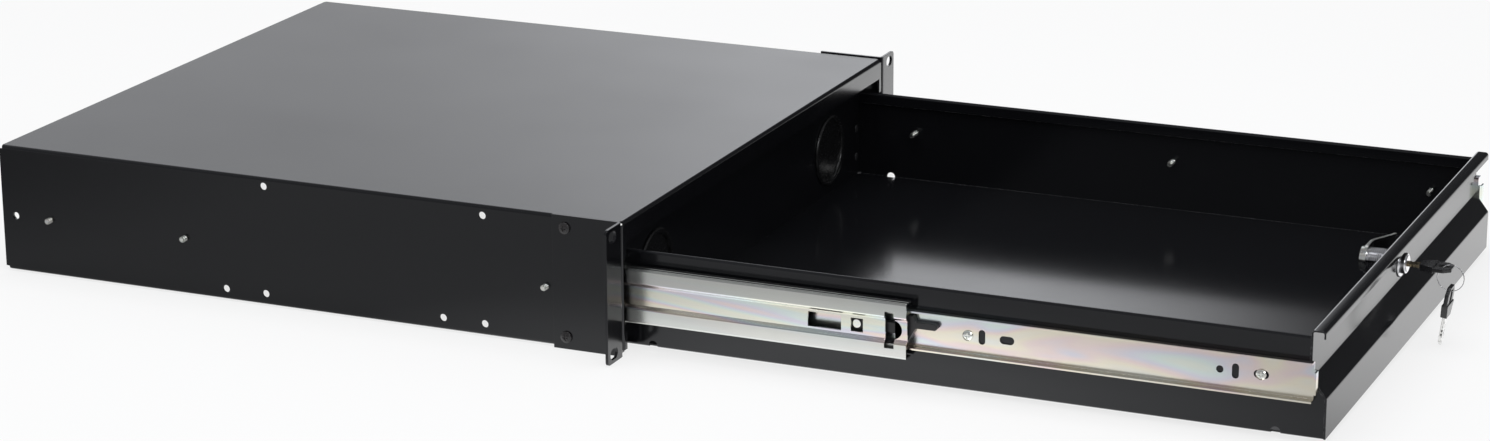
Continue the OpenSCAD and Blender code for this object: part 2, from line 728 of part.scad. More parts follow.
// Back wall with its rivets and cable grommets
cable_hole_z = tray_bottom_z + cable_hole_share * wall_h;
module rivet_places() {
    for (k = rivet_level_shares)
        translate([-tray_w / 2 + rivet_inset, back_wall_y, tray_bottom_z + k * wall_h]) children();
}
module back_wall() {
    color("#161618") difference() {
        along_y(back_wall_y, tray_t) difference() {
            translate([-tray_in_w / 2 + tray_bend_r, floor_z])
                square([tray_in_w - 2 * tray_bend_r, wall_top_z - floor_z]);
            for (side = [-1, 1]) translate([side * cable_hole_x / 2, cable_hole_z]) circle(d = cable_hole_d);
        }
        both_sides() rivet_places() translate([0, -over, 0])
            rod_y(back_rivet_d + 2 * fit_gap, tray_t + 2 * over);
    }
}
module back_rivets() {
    color("#2a2b2e") both_sides() rivet_places() {
        intersection() {
            translate([0, -back_rivet_head_h, 0]) rod_y(back_rivet_head_d, back_rivet_head_h);
            translate([0, back_rivet_head_d - back_rivet_head_h, 0]) sphere(r = back_rivet_head_d);
        }
        translate([0, -back_rivet_head_h / 2, 0]) rod_y(back_rivet_d, back_rivet_head_h / 2 + 2 * tray_t);
    }
}
module grommet() {
    hole = cable_hole_d / 2;
    bore = hole - grommet_wall;
    neck = hole - fit_gap;
    color("#0e0e10") translate([-cable_hole_x / 2, back_wall_y, cable_hole_z]) rotate([-90, 0, 0])
        rotate_extrude() polygon([[0, 0], [bore, 0], [bore, -grommet_rim_t / 2], [hole, -grommet_rim_t],
            [hole + grommet_rim_w / 2, -grommet_rim_t], [hole + grommet_rim_w, -grommet_rim_t / 2],
            [hole + grommet_rim_w, 0], [neck, 0], [neck, tray_t], [hole + grommet_lip_w, tray_t],
            [neck, tray_t + grommet_lip_t], [bore, tray_t + grommet_lip_t], [bore, grommet_skin_t],
            [0, grommet_skin_t]]);
}
module left_grommet() { grommet(); }
module right_grommet() { mirror([1, 0, 0]) grommet(); }

// Lock
module on_lock(y) { translate([0, y, lock_z]) children(); }
module lock_housing() {
    bore = plug_d / 2 + fit_gap;
    nose = nose_d / 2;
    front = -bezel_t - nose_t;
    color("#d4d6da") on_lock(recess_y) rotate([-90, 0, 0]) rotate_extrude() polygon(concat(
        [[bore, front]],
        [for (a = [90:-22.5:0]) [nose - nose_round * (1 - cos(a)), front + nose_round * (1 - sin(a))]],
        [[nose, -bezel_t], [bezel_d / 2 - bezel_t / 2, -bezel_t], [bezel_d / 2, -bezel_t / 2],
            [bezel_d / 2, 0], [barrel_d / 2, 0], [barrel_d / 2, barrel_l], [bore, barrel_l]]));
}
module lock_nut() {
    color("#c4c7cb") on_lock(panel_rear_y) difference() {
        rotate([-90, 0, 0]) cylinder(d = lock_nut_w / cos(30), h = lock_nut_t, $fn = 6);
        translate([0, -over, 0]) rod_y(barrel_d + 2 * fit_gap, lock_nut_t + 2 * over);
    }
}
module lock_plug() {
    front = lock_face_y - plug_proud;
    end = recess_y + barrel_l;
    slot = [blade_w + 2 * slot_gap, bow_y + blade_l + slot_end - front, blade_t + 2 * slot_gap];
    color("#cfd2d6") difference() {
        union() {
            on_lock(front) rod_y(plug_d, end - front);
            on_lock(end) translate([-tang_w / 2, 0, -tang_w / 2]) cube([tang_w, cam_t + cam_play, tang_w]);
            on_lock(end) rod_y(stud_d, cam_t + 2 * cam_play + cam_nut_t);
        }
        on_lock(front - over) translate([-slot[0] / 2, 0, -slot[2] / 2]) cube(slot + [0, over, 0]);
    }
}
module lock_cam() {
    hub = cam_w / 2;
    color("#c9ccd0") difference() {
        intersection() {
            along_z(lock_z - hub, cam_w) polygon(bent_sheet([[cam_l, cam_back_y - cam_crank],
                [cam_l - cam_tip_l, cam_back_y - cam_crank], [cam_bend, cam_back_y], [-hub, cam_back_y]],
                cam_t, bend_r));
            along_y(cam_back_y - cam_crank - 2 * cam_t, cam_crank + 3 * cam_t) translate([0, lock_z]) {
                circle(d = cam_w);
                translate([0, -hub]) square([cam_l, cam_w]);
            }
        }
        on_lock(cam_back_y) cube([tang_w + 2 * fit_gap, 3 * cam_t, tang_w + 2 * fit_gap], center = true);
    }
}
module cam_nut() {
    color("#c4c7cb") on_lock(cam_back_y) difference() {
        rod_y(cam_nut_d, cam_nut_t);
        translate([0, -over, 0]) rod_y(stud_d + 2 * fit_gap, cam_nut_t + 2 * over);
    }
}

// Keys: Y is 0 where the blade leaves the bow, with the tip at +Y and the eye at -Y
module blade() {
    half = blade_w / 2;
    point = blade_w * blade_point_share;
    translate([0, 0, -blade_t / 2]) linear_extrude(blade_t) difference() {
        polygon([[-half, -blade_root], [half, -blade_root], [half, blade_l - half], [point, blade_l],
            [-point, blade_l], [-half, blade_l - half]]);
        for (k = blade_cut_shares) translate([half, k * blade_l]) rotate([0, 0, 45])
            square(blade_cut, center = true);
    }
}
module bow() {
    neck = bow_neck_w / 2;
    half = bow_w / 2;
    end = bow_end_w / 2;
    eye_far = -bow_l + bridge + eye_l - eye_w / 2;
    root = [blade_w + 2 * fit_gap, 2 * blade_root, blade_t + 2 * fit_gap];
    difference() {
        translate([0, 0, -bow_t / 2]) linear_extrude(bow_t) polygon([[-neck, 0], [neck, 0],
            [half, -bow_l * bow_shoulder_shares[0]], [half, -bow_l * bow_shoulder_shares[1]],
            [end, -bow_l], [-end, -bow_l], [-half, -bow_l * bow_shoulder_shares[1]],
            [-half, -bow_l * bow_shoulder_shares[0]]]);
        for (side = [-1, 1]) translate([-bow_w, -bow_l - over, side > 0 ? eye_t / 2 : -bow_t - eye_t / 2])
            cube([2 * bow_w, eye_step + over, bow_t]);
        translate([0, 0, -bow_t]) linear_extrude(2 * bow_t) {
            translate([-eye_w / 2, -bow_l + bridge]) square([eye_w, eye_l - eye_w / 2]);
            translate([0, eye_far]) circle(d = eye_w);
        }
        cube(root, center = true);
    }
}
module in_lock() { on_lock(bow_y) children(); }
module hung() {
    on_ring() rotate([spare_lean, 0, 0]) translate([0, 0, spare_bow_top - bow_l])
        rotate([-90, 0, 0]) children();
}
module on_ring() { translate([0, eye_y, ring_low_z]) children(); }
module key_blade() { color("#b79d63") in_lock() blade(); }
module key_bow() { color("#141415") in_lock() bow(); }
module key_ring() {
    color("#d4d6da") translate([0, eye_y, ring_z]) rotate([0, 90, 0])
        rotate_extrude() translate([ring_d / 2, 0]) circle(d = wire_d);
}
module spare_key_blade() { color("#c9ccd0") hung() blade(); }
module spare_key_bow() { color("#141415") hung() bow(); }

case_shell();
left_ear();
right_ear();
ear_screws();
ear_nuts();
lock_strike();
left_outer_member();
right_outer_member();
case_slide_screws();
left_bumper();
right_bumper();
left_middle_member();
right_middle_member();
left_outer_cage();
right_outer_cage();
left_outer_balls();
right_outer_balls();
left_inner_cage();
right_inner_cage();
left_inner_balls();
right_inner_balls();
left_inner_member();
right_inner_member();
left_lever_rivet();
right_lever_rivet();
left_release_lever();
right_release_lever();
drawer_slide_screws();
drawer_tray();
back_wall();
back_rivets();
left_grommet();
right_grommet();
front_panel();
lock_housing();
lock_nut();
lock_plug();
lock_cam();
cam_nut();
key_blade();
key_bow();
key_ring();
spare_key_blade();
spare_key_bow();
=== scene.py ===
# Looks of a lockable two-unit rack drawer, standing pulled out on a pale studio floor.
import json
import math

import bmesh
import bpy
from mathutils import Euler, Matrix, Vector


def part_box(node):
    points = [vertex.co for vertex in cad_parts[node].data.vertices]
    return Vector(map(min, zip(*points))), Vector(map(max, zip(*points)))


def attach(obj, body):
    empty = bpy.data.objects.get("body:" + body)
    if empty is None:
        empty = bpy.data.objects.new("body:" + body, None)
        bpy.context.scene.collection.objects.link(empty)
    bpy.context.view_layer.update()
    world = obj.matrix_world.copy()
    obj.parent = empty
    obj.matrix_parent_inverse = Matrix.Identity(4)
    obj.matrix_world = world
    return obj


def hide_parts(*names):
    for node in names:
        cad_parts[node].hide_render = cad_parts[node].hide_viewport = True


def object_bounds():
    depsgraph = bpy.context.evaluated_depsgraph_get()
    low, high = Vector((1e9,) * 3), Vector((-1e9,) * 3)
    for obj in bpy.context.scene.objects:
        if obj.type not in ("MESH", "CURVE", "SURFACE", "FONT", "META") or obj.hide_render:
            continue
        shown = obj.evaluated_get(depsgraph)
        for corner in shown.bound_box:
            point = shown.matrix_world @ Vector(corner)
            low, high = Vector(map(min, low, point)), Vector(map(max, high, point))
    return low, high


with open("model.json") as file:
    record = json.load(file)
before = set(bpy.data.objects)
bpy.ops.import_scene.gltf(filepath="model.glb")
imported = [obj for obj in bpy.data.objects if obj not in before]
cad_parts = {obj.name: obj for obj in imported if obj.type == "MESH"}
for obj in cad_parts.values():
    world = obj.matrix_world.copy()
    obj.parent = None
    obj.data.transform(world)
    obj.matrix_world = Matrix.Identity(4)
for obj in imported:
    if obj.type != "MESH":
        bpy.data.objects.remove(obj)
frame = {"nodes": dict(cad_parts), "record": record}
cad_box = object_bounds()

MM = 0.001
SIDES = ("left", "right")

# Camera, from the edges of the photograph
CAMERA_AZIMUTH = math.radians(-66.279)
CAMERA_ELEVATION = math.radians(17.038)
CAMERA_ROLL = math.radians(-0.304)
CAMERA_DISTANCE = 2585.67 * MM
CAMERA_TARGET = Vector((0, 10.658, -18.428)) * MM
FOCAL_PIXELS = 3820.934
IMAGE_WIDTH_PIXELS = 1490
SENSOR_MM = 36

# Edge roundings, the angles from which an edge counts as sharp or a face as flat, and mesh merging
SHEET_EDGE = 0.22 * MM
SLIDE_EDGE = 0.16 * MM
SMALL_EDGE = 0.12 * MM
MOULDED_EDGE = 0.45 * MM
EDGE_SEGMENTS = 2
SMOOTH_ANGLE = math.radians(32)
FLAT_ANGLE = math.radians(0.6)
MERGE_DISTANCE = 1e-7

# Floor: half its side in metres, how far it lies below the object, and how it looks
FLOOR_SIZE = 6.0
FLOOR_DROP = 0.2 * MM
FLOOR_COLOUR = (0.86, 0.86, 0.86, 1)
FLOOR_ROUGHNESS = 0.9
# How much of the floor glows by itself, and how that glow shows in reflections around a point: each pool has
# its stretch, its middle on the stretched floor, and its levels by distance from there in metres
FLOOR_GLOW_SHARE = 0.78
SIDE_POOL = ((2.0, 1.0, 1.0), (-0.4, -0.15, 0.0),
             ((0, 1.75), (0.12, 1.7), (0.18, 1.35), (0.27, 0.9), (0.35, 0.52), (0.6, 0.45), (1.5, 0.6)))
FRONT_POOL = ((1.0, 1.5, 1.0), (0.15, -0.68, 0.0), ((0, 1.55), (0.15, 1.5), (0.27, 1.2), (0.45, 0.4)))
RIGHT_POOL = ((1.0, 1.0, 1.0), (0.45, -0.08, 0.0),
              ((0, 2.3), (0.12, 2.2), (0.22, 1.2), (0.45, 1.3), (0.6, 0.4)))
FAR_SHADE = ((1.0, 1.0, 1.0), (-0.45, 0.7, 0.0), ((0.1, 0.15), (0.32, 1.0)))
# World: its level for soft light, the level that reflections find high up, and its tone away from the camera
AMBIENT_LEVEL = 0.62
HIGH_LEVEL = 0.24
HIGH_START, HIGH_END = 0.45, 0.85
SKY_TONE = (0.955, 0.968, 1.0, 1.0)
WHITE = (1, 1, 1, 1)
# Band of light that only shows in reflections, by the height of the direction
RIM_BAND = ((0, 0), (0.7, 0), (0.76, 1), (0.82, 1), (0.88, 0), (1, 0))
RIM_LEVEL = 0.25
# Small bright spots that only show in reflections: their directions, and their level by distance from them
GLINT_DIRECTIONS = ((-0.58, -0.66, 0.48), (-0.3, -0.15, 0.94))
GLINT_LEVELS = ((0, 8.0), (0.12, 8.0), (0.2, 0.0))
# Brightness of the studio by compass direction, in degrees from +X towards +Y
STUDIO_LEVELS = (
    (-180, 0.35), (-70, 0.3), (-40, 0.08), (14.8, 0.05), (16.2, 1.0), (19.5, 1.88), (23, 1.62), (26, 1.25),
    (29, 0.98), (36, 0.92), (75, 0.7), (120, 0.4), (180, 0.35))

# Slides: height of their axis, half the height of a middle member's filmed web, how softly the film ends,
# how much film is left on the lands beside it, and how much of their brightness a painted shade leaves them
SLIDE_Z = -5 * MM
WEB_HALF = 8.8 * MM
FILM_EDGE = 0.6 * MM
LAND_FILM = 0.1
LAND_SHADE_SHARE = 0.8

# Zinc: its colour without film, and that of rubbed edges
PLAIN_ZINC = (0.625, 0.64, 0.615, 1)
RUBBED_ZINC = (0.9, 0.9, 0.9, 1)

# Powder coat and plastic: refraction, and the faint blue of the paint's shine
PAINT_IOR = 1.45
PLASTIC_IOR = 1.48
PAINT_SHINE = (0.955, 0.972, 1.0, 1.0)

# Screw threads: outer diameter, pitch and depth
SLIDE_THREAD = (4 * MM, 0.7 * MM, 0.42 * MM)
DRAWER_THREAD = (3.8 * MM, 0.7 * MM, 0.4 * MM)
BARREL_THREAD = (16 * MM, 1.3 * MM, 0.95 * MM)
THREAD_TOLERANCE = 0.02 * MM
# How far a shank is cut down below its thread, as shares of the thread's depth
SCREW_CUT = 1.7
BARREL_CUT = 0.9
# Steps of a thread's turn, and sides of its ridge
COIL_STEPS = 24
RIDGE_SIDES = 6

# Balls of the outer and the inner races
OUTER_BALL_D = 3.97 * MM
INNER_BALL_D = 4.76 * MM
BALL_DIVISIONS = 3

# Key ring: its middle diameter, and the wire that it is wound from
RING_D = 17.2 * MM
RING_WIRE_D = 0.6 * MM


# Shader node helpers

def add_node(tree, kind, place=(0, 0), **settings):
    node = tree.nodes.new(kind)
    node.location = place
    for name, value in settings.items():
        setattr(node, name, value)
    return node


def feed(tree, socket, value):
    """Links value when it is a socket and writes it when it is a number or a colour."""
    if isinstance(value, bpy.types.NodeSocket):
        tree.links.new(value, socket)
    else:
        socket.default_value = value


def maths(tree, operation, first, second=0.0):
    node = add_node(tree, "ShaderNodeMath", operation=operation)
    feed(tree, node.inputs[0], first)
    feed(tree, node.inputs[1], second)
    return node.outputs[0]


def mixed_colour(tree, factor, first, second, blend_type="MIX"):
    """Colours mixed by the factor; sockets 6 and 7 are a Mix node's colours and output 2 its result."""
    node = add_node(tree, "ShaderNodeMix", data_type="RGBA", blend_type=blend_type)
    feed(tree, node.inputs["Factor"], factor)
    feed(tree, node.inputs[6], first)
    feed(tree, node.inputs[7], second)
    return node.outputs[2]


def remapped(tree, value, low, high, new_low, new_high):
    node = add_node(tree, "ShaderNodeMapRange")
    for name, number in (("Value", value), ("From Min", low), ("From Max", high),
                         ("To Min", new_low), ("To Max", new_high)):
        feed(tree, node.inputs[name], number)
    return node.outputs["Result"]


def noise(tree, vector, scale, detail=2.0, roughness=0.5, distortion=0.0):
    node = add_node(tree, "ShaderNodeTexNoise")
    feed(tree, node.inputs["Vector"], vector)
    feed(tree, node.inputs["Scale"], scale)
    feed(tree, node.inputs["Detail"], detail)
    feed(tree, node.inputs["Roughness"], roughness)
    feed(tree, node.inputs["Distortion"], distortion)
    return node.outputs["Fac"]


def stretched(tree, vector, scale):
    node = add_node(tree, "ShaderNodeMapping")
    feed(tree, node.inputs["Vector"], vector)
    node.inputs["Scale"].default_value = scale
    return node.outputs["Vector"]


def colour_steps(tree, value, steps):
    """A colour ramp with a stop for each position and colour of the steps."""
    node = add_node(tree, "ShaderNodeValToRGB")
    ramp = node.color_ramp
    ramp.elements[0].position, ramp.elements[0].color = steps[0][0], (*steps[0][1], 1)
    ramp.elements[1].position, ramp.elements[1].color = steps[-1][0], (*steps[-1][1], 1)
    for position, colour in steps[1:-1]:
        ramp.elements.new(position).color = (*colour, 1)
    feed(tree, node.inputs["Fac"], value)
    return node.outputs["Color"]


def shader_group(name, inputs, outputs):
    """A shader node group with its sockets, as (group, input node, output node)."""
    group = bpy.data.node_groups.new(name, "ShaderNodeTree")
    for title, kind, default in inputs:
        socket = group.interface.new_socket(title, in_out="INPUT", socket_type="NodeSocket" + kind)
        if default is not None:
            socket.default_value = default
    for title, kind in outputs:
        group.interface.new_socket(title, in_out="OUTPUT", socket_type="NodeSocket" + kind)
    return group, add_node(group, "NodeGroupInput", (-900, 0)), add_node(group, "NodeGroupOutput", (600, 0))


# Effects that several finishes share

def make_edge_group():
    """Edge mask for rubbing and painted highlight: 1 on the outer edges of the metal, broken up by noise, and
    0 on flat faces.
    """
    group, source, result = shader_group(
        "edge_rubbing_and_highlight",
        [("Vector", "Vector", None), ("Radius", "Float", 0.0004), ("Break Up", "Float", 600.0),
         ("Amount", "Float", 0.5)],
        [("Mask", "Float")])
    bevel = add_node(group, "ShaderNodeBevel", samples=4)
    feed(group, bevel.inputs["Radius"], source.outputs["Radius"])
    geometry = add_node(group, "ShaderNodeNewGeometry")
    dot = add_node(group, "ShaderNodeVectorMath", operation="DOT_PRODUCT")
    feed(group, dot.inputs[0], bevel.outputs["Normal"])
    feed(group, dot.inputs[1], geometry.outputs["Normal"])
    turned = remapped(group, dot.outputs["Value"], 0.999, 0.9, 0.0, 1.0)
    broken = remapped(group, noise(group, source.outputs["Vector"], source.outputs["Break Up"], 3.0),
                      0.42, 0.62, 0.0, 1.0)
    feed(group, result.inputs["Mask"], maths(group, "MULTIPLY", maths(group, "MULTIPLY", turned, broken),
                                             source.outputs["Amount"]))
    return group


def make_peel_group():
    """Powder coat: height of the orange peel, and a slow change of gloss over the sheet."""
    group, source, result = shader_group(
        "orange_peel",
        [("Vector", "Vector", None), ("Peel Scale", "Float", 420.0), ("Grain Scale", "Float", 2600.0),
         ("Grain Share", "Float", 0.3)],
        [("Height", "Float"), ("Gloss", "Float")])
    peel = noise(group, source.outputs["Vector"], source.outputs["Peel Scale"], 2.0, 0.45)
    grain = noise(group, source.outputs["Vector"], source.outputs["Grain Scale"], 2.0, 0.6)
    node = add_node(group, "ShaderNodeMix", data_type="FLOAT")
    feed(group, node.inputs[0], source.outputs["Grain Share"])
    feed(group, node.inputs[2], peel)
    feed(group, node.inputs[3], grain)
    feed(group, result.inputs["Height"], node.outputs[0])
    feed(group, result.inputs["Gloss"], noise(group, source.outputs["Vector"], 9.0, 3.0, 0.5))
    return group


def make_zinc_group():
    """Passivated zinc: a soft drift of pink, straw, green and blue, and the fine grain of rolled steel."""
    group, source, result = shader_group(
        "passivated_zinc",
        [("Vector", "Vector", None), ("Film Place", "Vector", None), ("Tint Scale", "Float", 9.0),
         ("Tint", "Float", 0.5), ("Grain Scale", "Float", 1.0)],
        [("Color", "Color"), ("Roughness", "Float"), ("Height", "Float")])
    drift = noise(group, source.outputs["Film Place"], source.outputs["Tint Scale"], 2.0, 0.5, 0.9)
    bands = remapped(group, drift, 0.3, 0.7, 0.0, 1.0)
    film = colour_steps(group, bands, [
        (0.0, (0.60, 0.64, 0.62)), (0.22, (0.66, 0.66, 0.61)), (0.36, (0.70, 0.64, 0.52)),
        (0.46, (0.68, 0.56, 0.55)), (0.55, (0.58, 0.57, 0.65)), (0.65, (0.57, 0.65, 0.64)),
        (0.78, (0.66, 0.67, 0.57)), (1.0, (0.66, 0.62, 0.58))])
    feed(group, result.inputs["Color"], mixed_colour(group, source.outputs["Tint"], PLAIN_ZINC, film))
    rolled = stretched(group, source.outputs["Vector"], (900.0, 25.0, 900.0))
    grain = noise(group, rolled, source.outputs["Grain Scale"], 3.0, 0.6)
    feed(group, result.inputs["Height"], grain)
    blotch = noise(group, source.outputs["Vector"], 60.0, 3.0, 0.6)
    rough = maths(group, "ADD", remapped(group, grain, 0.3, 0.7, 0.0, 0.04),
                  remapped(group, blotch, 0.3, 0.7, 0.0, 0.06))
    feed(group, result.inputs["Roughness"], rough)
    return group


EDGE_GROUP = make_edge_group()
PEEL_GROUP = make_peel_group()
ZINC_GROUP = make_zinc_group()


def place_group(tree, group, vector, **values):
    node = add_node(tree, "ShaderNodeGroup", node_tree=group)
    feed(tree, node.inputs["Vector"], vector)
    for name, value in values.items():
        feed(tree, node.inputs[name.replace("_", " ").title()], value)
    return node


# Finishes

def new_finish(name, metallic, roughness, ior=1.45):
    """A material with its Principled shader, as (material, tree, shader, object coordinates)."""
    material = bpy.data.materials.new(name)
    material.use_nodes = True
    tree = material.node_tree
    shader = tree.nodes["Principled BSDF"]
    shader.inputs["Metallic"].default_value = metallic
    shader.inputs["Roughness"].default_value = roughness
    shader.inputs["IOR"].default_value = ior
    coordinates = add_node(tree, "ShaderNodeTexCoord", (-1200, 0))
    return material, tree, shader, coordinates.outputs["Object"]


def add_bump(tree, shader, height, distance):
    bump = add_node(tree, "ShaderNodeBump")
    bump.inputs["Distance"].default_value = distance
    feed(tree, bump.inputs["Height"], height)
    feed(tree, shader.inputs["Normal"], bump.outputs["Normal"])


def powder_coat(name, base, edge_rubbing_and_highlight_colour, roughness, peel, grain_share, edge_rubbing_and_highlight_amount):
    """Black powder coat: orange peel, slow gloss changes, faint dust, and lighter edges, partly rubbed and
    partly painted highlight.
    """
    material, tree, shader, place = new_finish(name, 0.0, roughness, PAINT_IOR)
    shader.inputs["Specular Tint"].default_value = PAINT_SHINE
    surface = place_group(tree, PEEL_GROUP, place, grain_share=grain_share)
    edges = place_group(tree, EDGE_GROUP, place, amount=edge_rubbing_and_highlight_amount)
    dusty = remapped(tree, noise(tree, place, 55.0, 4.0, 0.6), 0.55, 0.8, 0.0, 0.25)
    lighter = tuple(min(1.0, c * 1.7) for c in base)
    ground = mixed_colour(tree, dusty, (*base, 1), (*lighter, 1))
    # Lighter edges: partly rubbed paint, partly a painted edge highlight.
    feed(tree, shader.inputs["Base Color"], mixed_colour(tree, edges.outputs["Mask"], ground, (*edge_rubbing_and_highlight_colour, 1)))
    feed(tree, shader.inputs["Roughness"],
         remapped(tree, surface.outputs["Gloss"], 0.25, 0.75, roughness * 0.85, roughness * 1.2))
    add_bump(tree, shader, surface.outputs["Height"], peel)
    return material


def zinc_steel(name, tint, roughness, shade=1.0, tint_scale=9.0, run=(1.0, 0.3, 2.2), film_half=None):
    """Rolled steel under bright zinc with a rainbow film: run stretches its patches, film_half bounds it and
    darkens the lands beyond it with painted shade.
    """
    material, tree, shader, place = new_finish(name, 1.0, roughness)
    if film_half:
        split = add_node(tree, "ShaderNodeSeparateXYZ")
        feed(tree, split.inputs["Vector"], place)
        off_axis = maths(tree, "ABSOLUTE", maths(tree, "SUBTRACT", split.outputs["Z"], SLIDE_Z))
        film_end, land_start = film_half - FILM_EDGE, film_half + FILM_EDGE
        tint = remapped(tree, off_axis, film_end, land_start, tint, LAND_FILM)
        # The lands beyond the film get a painted shade: darker than the web.
        shade = remapped(tree, off_axis, film_end, land_start, shade, shade * LAND_SHADE_SHARE)
    surface = place_group(tree, ZINC_GROUP, place, film_place=stretched(tree, place, run), tint=tint,
                          tint_scale=tint_scale)
    edges = place_group(tree, EDGE_GROUP, place, amount=0.35, radius=0.0003)
    toned = mixed_colour(tree, 1.0, surface.outputs["Color"], shade if film_half else (shade,) * 3 + (1,),
                         "MULTIPLY")
    feed(tree, shader.inputs["Base Color"], mixed_colour(tree, edges.outputs["Mask"], toned, RUBBED_ZINC))
    feed(tree, shader.inputs["Roughness"], maths(tree, "ADD", surface.outputs["Roughness"], roughness))
    add_bump(tree, shader, surface.outputs["Height"], 0.0000016)
    return material


def plated(name, colour, roughness, spots=0.12):
    """Polished plating with fine swirls and slightly duller spots."""
    material, tree, shader, place = new_finish(name, 1.0, roughness)
    clouds = noise(tree, place, 700.0, 3.0, 0.6)
    duller = tuple(c * 0.8 for c in colour)
    feed(tree, shader.inputs["Base Color"],
         mixed_colour(tree, remapped(tree, clouds, 0.5, 0.75, 0.0, 1.0), (*colour, 1), (*duller, 1)))
    feed(tree, shader.inputs["Roughness"],
         remapped(tree, clouds, 0.3, 0.7, roughness * 0.7, roughness + spots))
    swirls = noise(tree, stretched(tree, place, (2400.0, 300.0, 2400.0)), 1.0, 2.0)
    add_bump(tree, shader, swirls, 0.000003)
    return material


def milled(name, colour, cut_colour, roughness):
    """Plated key blade with darker milled dimples and tool marks."""
    material, tree, shader, place = new_finish(name, 1.0, roughness)
    dimples = add_node(tree, "ShaderNodeTexVoronoi", feature="F1")
    feed(tree, dimples.inputs["Vector"], place)
    dimples.inputs["Scale"].default_value = 430.0
    deep = remapped(tree, dimples.outputs["Distance"], 0.22, 0.5, 1.0, 0.0)
    marks = noise(tree, stretched(tree, place, (2200.0, 2200.0, 500.0)), 1.0, 2.0)
    toned = mixed_colour(tree, deep, (*colour, 1), (*cut_colour, 1))
    feed(tree, shader.inputs["Base Color"], toned)
    feed(tree, shader.inputs["Roughness"], remapped(tree, marks, 0.3, 0.7, roughness * 0.7, roughness + 0.12))
    add_bump(tree, shader, maths(tree, "SUBTRACT", maths(tree, "MULTIPLY", marks, 0.2), deep), 0.0001)
    return material


def moulded(name, colour, roughness, grain_scale, depth):
    """Moulded plastic or rubber with a fine eroded grain and scuffed edges."""
    material, tree, shader, place = new_finish(name, 0.0, roughness, PLASTIC_IOR)
    grain = noise(tree, place, grain_scale, 3.0, 0.6)
    edges = place_group(tree, EDGE_GROUP, place, amount=0.4, radius=0.0005)
    scuffed = tuple(min(1.0, c * 3 + 0.03) for c in colour)
    softer = tuple(min(1.0, c * 1.5) for c in colour)
    ground = mixed_colour(tree, remapped(tree, grain, 0.35, 0.7, 0.0, 1.0), (*colour, 1), (*softer, 1))
    feed(tree, shader.inputs["Base Color"], mixed_colour(tree, edges.outputs["Mask"], ground, (*scuffed, 1)))
    feed(tree, shader.inputs["Roughness"], remapped(tree, grain, 0.3, 0.7, roughness * 0.85, roughness * 1.2))
    add_bump(tree, shader, grain, depth)
    return material


# The lighter edge colours of these coats are partly rubbed paint and partly painted highlight, on the drawer
# mostly painted highlight.
CASE_PAINT = powder_coat("case_powder_coat", (0.0042, 0.0043, 0.0052), (0.08, 0.08, 0.083), 0.2, 0.000008,
                         0.25, 0.5)
DRAWER_PAINT = powder_coat("drawer_powder_coat", (0.0052, 0.0054, 0.0064), (0.3, 0.3, 0.305), 0.13,
                           0.000006, 0.3, 0.6)
BLACK_ZINC = powder_coat("black_zinc", (0.022, 0.02, 0.02), (0.12, 0.11, 0.11), 0.24, 0.000004, 0.6, 0.8)
RIVET_BLACK = powder_coat("rivet_black", (0.02, 0.02, 0.021), (0.2, 0.2, 0.2), 0.09, 0.000002, 0.3, 0.7)
OUTER_ZINC = zinc_steel("outer_slide_zinc", 0.15, 0.2)
MIDDLE_ZINC = zinc_steel("middle_slide_zinc", 0.9, 0.17, 1.12, 11.0, (1.0, 0.35, 5.0), WEB_HALF)
INNER_ZINC = zinc_steel("inner_slide_zinc", 0.85, 0.17, 1.12, 10.0, (1.0, 0.6, 2.8))
BRIGHT_ZINC = zinc_steel("bright_zinc", 0.25, 0.14, 1.25, 120.0)
CAGE_STEEL = zinc_steel("cage_steel", 0.1, 0.28, 0.75)
BALL_STEEL = plated("ball_steel", (0.8, 0.8, 0.82), 0.06, 0.05)
LOCK_CHROME = plated("lock_chrome", (0.66, 0.66, 0.68), 0.09)
RING_STEEL = plated("ring_steel", (0.58, 0.58, 0.59), 0.16)
KEY_BRASS = milled("key_brass", (0.6, 0.5, 0.33), (0.16, 0.12, 0.07), 0.2)
KEY_NICKEL = milled("key_nickel", (0.62, 0.62, 0.61), (0.07, 0.07, 0.07), 0.16)
RUBBER = moulded("rubber", (0.006, 0.006, 0.0062), 0.24, 900.0, 0.00001)
LEVER_PLASTIC = moulded("lever_plastic", (0.012, 0.012, 0.013), 0.42, 1500.0, 0.00001)
BOW_PLASTIC = moulded("bow_plastic", (0.01, 0.01, 0.011), 0.26, 1100.0, 0.000012)


# Mesh helpers

def new_piece(name, mesh):
    piece = bpy.data.objects.new(name, mesh)
    bpy.context.scene.collection.objects.link(piece)
    return piece


def set_finish(piece, material):
    piece.data.materials.clear()
    piece.data.materials.append(material)


def evaluated_mesh(piece):
    """The piece's mesh with its modifiers in it, as a plain mesh."""
    bpy.context.view_layer.update()
    graph = bpy.context.evaluated_depsgraph_get()
    return bpy.data.meshes.new_from_object(piece.evaluated_get(graph), depsgraph=graph)


def bake_modifiers(piece):
    mesh = evaluated_mesh(piece)
    piece.modifiers.clear()
    piece.data = mesh


def smooth_by_angle(mesh):
    mesh.polygons.foreach_set("use_smooth", [True] * len(mesh.polygons))
    mesh.set_sharp_from_angle(angle=SMOOTH_ANGLE)


def merged_copy(node):
    """A bmesh of a CAD node's surface, with its triangles joined into whole faces."""
    shape = bmesh.new()
    shape.from_mesh(frame["nodes"][node].data)
    bmesh.ops.remove_doubles(shape, verts=shape.verts, dist=MERGE_DISTANCE)
    bmesh.ops.dissolve_limit(shape, angle_limit=FLAT_ANGLE, verts=shape.verts, edges=shape.edges,
                             delimit={"NORMAL"})
    return shape


def body_of(node):
    return next(body for body, nodes in frame["record"]["behaviour"]["bodies"].items() if node in nodes)


def dress(piece, material, node):
    """The piece takes the finish and stands for the node, on its body."""
    set_finish(piece, material)
    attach(piece, body_of(node))
    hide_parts(node)


